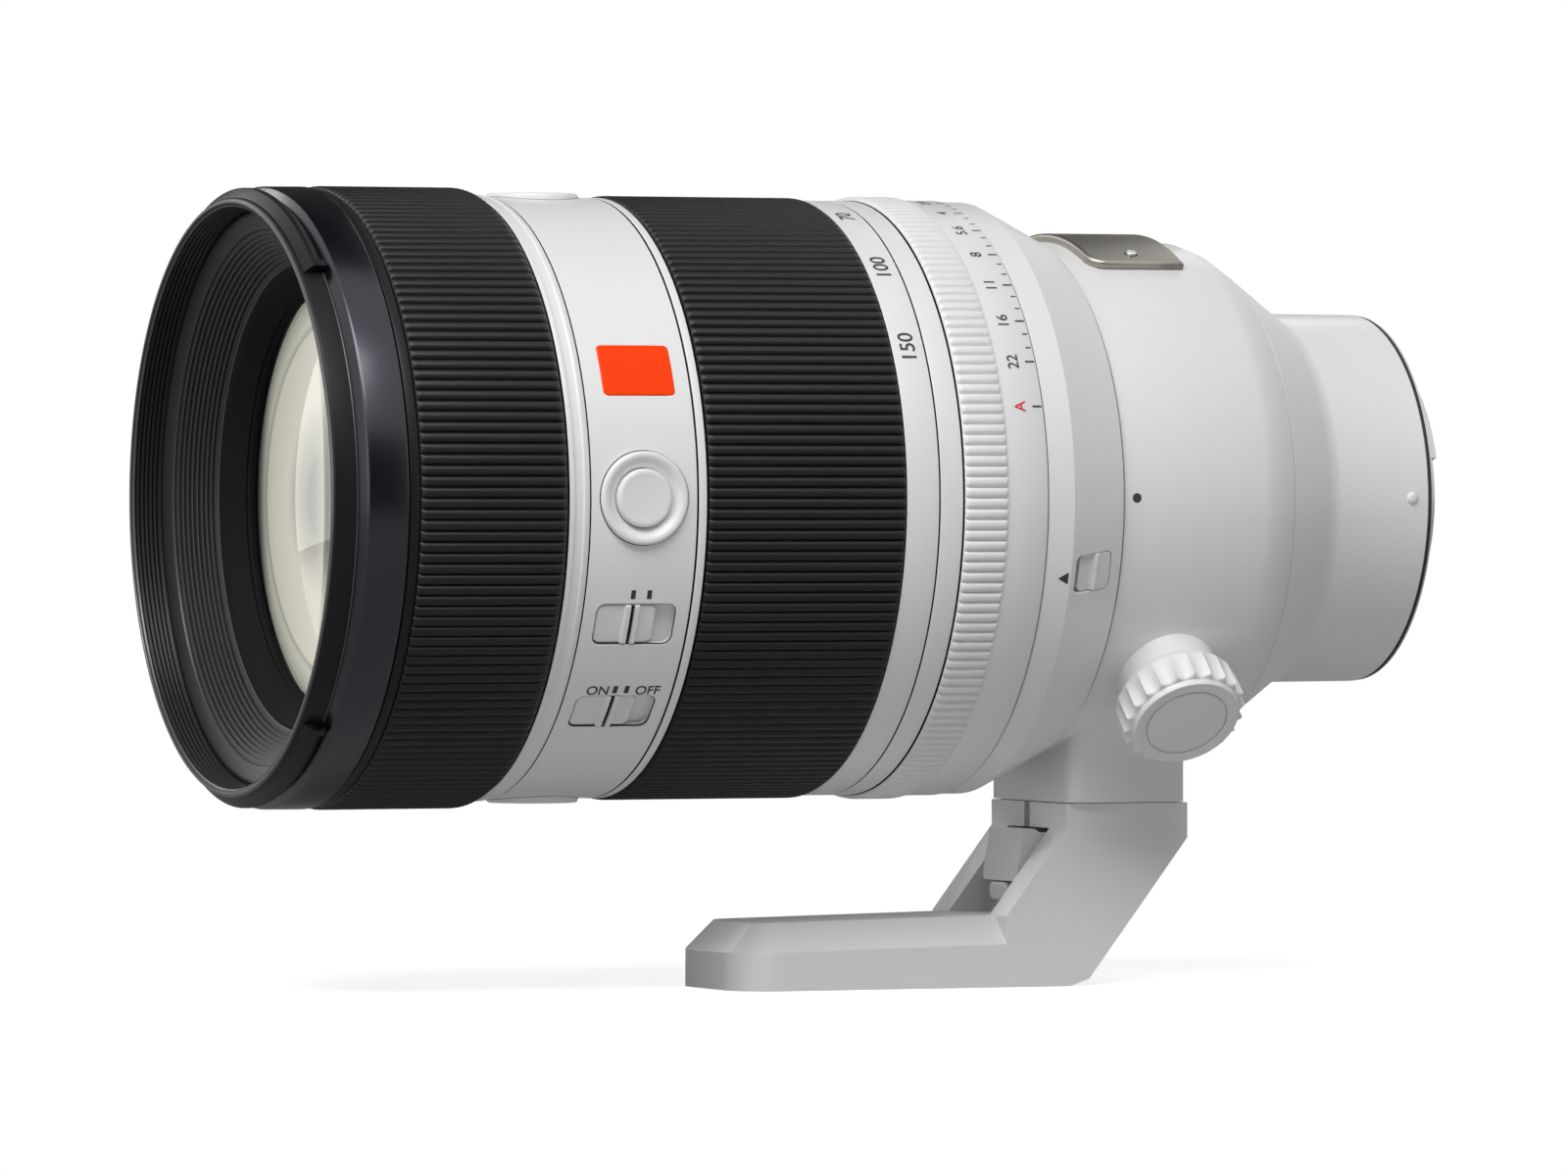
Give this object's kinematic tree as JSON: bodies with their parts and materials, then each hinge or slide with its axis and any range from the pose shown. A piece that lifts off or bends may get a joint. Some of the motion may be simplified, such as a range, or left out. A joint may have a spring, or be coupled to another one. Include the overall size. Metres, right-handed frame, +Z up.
{
  "type": "telephoto zoom lens with tripod collar",
  "caption": "White telephoto zoom lens with ribbed focus and zoom rings, an aperture ring and a rotating tripod collar with a lock knob and a sliding foot.",
  "frame": {"origin": "centre of the camera mount, in the plane of the rear flange, on the optical axis", "axes": "+X along the optical axis towards the camera, front glass at -X; +Z up, foot below; -Y is the side with the switches and the lock knob"},
  "size_m": [0.2074, 0.102, 0.1324],
  "materials": {
    "white_paint": "satin",
    "black_anodised": "satin",
    "gloss_black": "gloss",
    "black_rubber": "matte",
    "lens_glass": "gloss",
    "machined_aluminium": "satin",
    "taupe_aluminium": "satin",
    "steel": "satin",
    "black_plastic": "matte",
    "grey_plastic": "satin",
    "white_plastic": "satin",
    "orange_plastic": "gloss",
    "circuit_board": "satin",
    "blade_steel": "matte"
  },
  "bodies": {
    "barrel": {"front_ring": "black_anodised", "name_ring": "gloss_black", "front_element": "lens_glass", "front_retainer": "black_anodised", "front_baffle": "black_plastic", "front_barrel": "machined_aluminium", "front_cell": "black_anodised", "second_element": "lens_glass", "switch_barrel": "white_paint", "switch_cover": "white_paint", "badge_plate": "orange_plastic", "main_barrel": "machined_aluminium", "index_ring": "white_paint", "rear_barrel": "white_paint", "mount_barrel": "white_paint", "mount_index_bead": "white_plastic", "mount_seal": "black_rubber", "mount_flange": "machined_aluminium", "mount_screws": "steel", "contact_block": "black_plastic", "rear_cell": "black_plastic", "rear_element": "lens_glass", "main_board": "circuit_board", "iris_housing": "black_plastic"},
    "focus": {"focus_ring": "white_paint", "focus_grip": "black_rubber"},
    "zoom": {"zoom_ring": "white_paint", "zoom_grip": "black_rubber", "cam_barrel": "machined_aluminium"},
    "aperture": {"aperture_ring": "white_paint"},
    "iris_drive": {"iris_drive_ring": "steel"},
    "variator": {"variator_carriage": "machined_aluminium", "variator_glass": "lens_glass"},
    "focus_group": {"focus_carriage": "black_plastic", "focus_glass": "lens_glass"},
    "hold_top": {"focus_hold_button_top": "white_plastic"},
    "hold_side": {"focus_hold_button_side": "white_plastic"},
    "hold_bottom": {"focus_hold_button_bottom": "white_plastic"},
    "mode_switch": {"focus_mode_switch": "white_plastic"},
    "override": {"override_switch": "white_plastic"},
    "iris_lock": {"iris_lock_switch": "white_plastic"},
    "collar": {"collar_ring": "white_paint", "collar_plate": "taupe_aluminium", "collar_plate_screws": "steel"},
    "shoe": {"clamp_shoe": "black_plastic"},
    "knob": {"clamp_knob": "white_plastic", "knob_cap": "white_plastic", "clamp_screw": "steel"},
    "foot_body": {"foot": "white_paint", "tripod_bush": "steel", "lever_pin": "steel"},
    "lever": {"foot_lever": "white_plastic"},
    "foot_lock": {"foot_lock_button": "white_plastic"},
    "blade_1": {"iris_blade_1": "blade_steel"},
    "blade_2": {"iris_blade_2": "blade_steel"},
    "blade_3": {"iris_blade_3": "blade_steel"},
    "blade_4": {"iris_blade_4": "blade_steel"},
    "blade_5": {"iris_blade_5": "blade_steel"},
    "blade_6": {"iris_blade_6": "blade_steel"},
    "blade_7": {"iris_blade_7": "blade_steel"}
  },
  "joints": [
    {"name": "focus_turn", "type": "hinge", "parent": "barrel", "child": "focus", "pos_m": [0, 0, 0], "axis": [-1, 0, 0], "continuous": true},
    {"name": "zoom_turn", "type": "hinge", "parent": "barrel", "child": "zoom", "pos_m": [0, 0, 0], "axis": [-1, 0, 0], "range_deg": [0, 60]},
    {"name": "aperture_turn", "type": "hinge", "parent": "barrel", "child": "aperture", "pos_m": [0, 0, 0], "axis": [-1, 0, 0], "range_deg": [0, 72.4]},
    {"name": "iris_drive_turn", "type": "hinge", "parent": "barrel", "child": "iris_drive", "pos_m": [0, 0, 0], "axis": [1, 0, 0], "range_deg": [0, 6.3]},
    {"name": "blade_1_swing", "type": "hinge", "parent": "barrel", "child": "blade_1", "pos_m": [-0.0955, 0, 0.0335], "axis": [1, 0, 0], "range_deg": [0, 41]},
    {"name": "blade_2_swing", "type": "hinge", "parent": "barrel", "child": "blade_2", "pos_m": [-0.0955, -0.02619, 0.02089], "axis": [1, 0, 0], "range_deg": [0, 41]},
    {"name": "blade_3_swing", "type": "hinge", "parent": "barrel", "child": "blade_3", "pos_m": [-0.0955, -0.03266, -0.00745], "axis": [1, 0, 0], "range_deg": [0, 41]},
    {"name": "blade_4_swing", "type": "hinge", "parent": "barrel", "child": "blade_4", "pos_m": [-0.0955, -0.01454, -0.03018], "axis": [1, 0, 0], "range_deg": [0, 41]},
    {"name": "blade_5_swing", "type": "hinge", "parent": "barrel", "child": "blade_5", "pos_m": [-0.0955, 0.01454, -0.03018], "axis": [1, 0, 0], "range_deg": [0, 41]},
    {"name": "blade_6_swing", "type": "hinge", "parent": "barrel", "child": "blade_6", "pos_m": [-0.0955, 0.03266, -0.00745], "axis": [1, 0, 0], "range_deg": [0, 41]},
    {"name": "blade_7_swing", "type": "hinge", "parent": "barrel", "child": "blade_7", "pos_m": [-0.0955, 0.02619, 0.02089], "axis": [1, 0, 0], "range_deg": [0, 41]},
    {"name": "variator_slide", "type": "slide", "parent": "barrel", "child": "variator", "axis": [1, 0, 0], "range_m": [0, 0.012]},
    {"name": "focus_group_slide", "type": "slide", "parent": "barrel", "child": "focus_group", "axis": [1, 0, 0], "range_m": [0, 0.01]},
    {"name": "hold_top_press", "type": "slide", "parent": "barrel", "child": "hold_top", "axis": [0, 0, -1], "range_m": [0, 0.0005], "stiffness_N_per_m": 400, "springref_m": -0.0005},
    {"name": "hold_side_press", "type": "slide", "parent": "barrel", "child": "hold_side", "axis": [0, 1, 0], "range_m": [0, 0.0005], "stiffness_N_per_m": 400, "springref_m": -0.0005},
    {"name": "hold_bottom_press", "type": "slide", "parent": "barrel", "child": "hold_bottom", "axis": [0, 0, 1], "range_m": [0, 0.0005], "stiffness_N_per_m": 400, "springref_m": -0.0005},
    {"name": "mode_switch_slide", "type": "slide", "parent": "barrel", "child": "mode_switch", "axis": [1, 0, 0], "range_m": [0, 0.0032]},
    {"name": "override_slide", "type": "slide", "parent": "barrel", "child": "override", "axis": [1, 0, 0], "range_m": [0, 0.0032]},
    {"name": "iris_lock_slide", "type": "slide", "parent": "barrel", "child": "iris_lock", "axis": [-1, 0, 0], "range_m": [0, 0.0012]},
    {"name": "collar_turn", "type": "hinge", "parent": "barrel", "child": "collar", "pos_m": [0, 0, 0], "axis": [-1, 0, 0], "continuous": true},
    {"name": "knob_turn", "type": "hinge", "parent": "collar", "child": "knob", "pos_m": [-0.0495, 0, 0], "axis": [0, -0.7314, -0.682], "range_deg": [0, 360]},
    {"name": "shoe_slide", "type": "slide", "parent": "collar", "child": "shoe", "axis": [0, -0.7314, -0.682], "range_m": [0, 0.001]},
    {"name": "foot_slide", "type": "slide", "parent": "collar", "child": "foot_body", "axis": [-1, 0, 0], "range_m": [0, 0.02]},
    {"name": "lever_swing", "type": "hinge", "parent": "foot_body", "child": "lever", "pos_m": [-0.0595, 0, -0.0576], "axis": [0, 1, 0], "range_deg": [0, 25], "stiffness_Nm_per_rad": 0.02, "springref_deg": -11.46},
    {"name": "foot_lock_press", "type": "slide", "parent": "foot_body", "child": "foot_lock", "axis": [1, 0, 0], "range_m": [0, 0.0012], "stiffness_N_per_m": 400, "springref_m": -0.0005}
  ],
  "couplings": [
    {"joint": "variator_slide", "follows": "zoom_turn", "m_per_rad": 0.01145},
    {"joint": "iris_drive_turn", "follows": "aperture_turn", "ratio": 0.085},
    {"joint": "blade_1_swing", "follows": "aperture_turn", "ratio": 0.565},
    {"joint": "blade_2_swing", "follows": "aperture_turn", "ratio": 0.565},
    {"joint": "blade_3_swing", "follows": "aperture_turn", "ratio": 0.565},
    {"joint": "blade_4_swing", "follows": "aperture_turn", "ratio": 0.565},
    {"joint": "blade_5_swing", "follows": "aperture_turn", "ratio": 0.565},
    {"joint": "blade_6_swing", "follows": "aperture_turn", "ratio": 0.565},
    {"joint": "blade_7_swing", "follows": "aperture_turn", "ratio": 0.565},
    {"joint": "shoe_slide", "follows": "knob_turn", "m_per_rad": 0.000159}
  ]
}
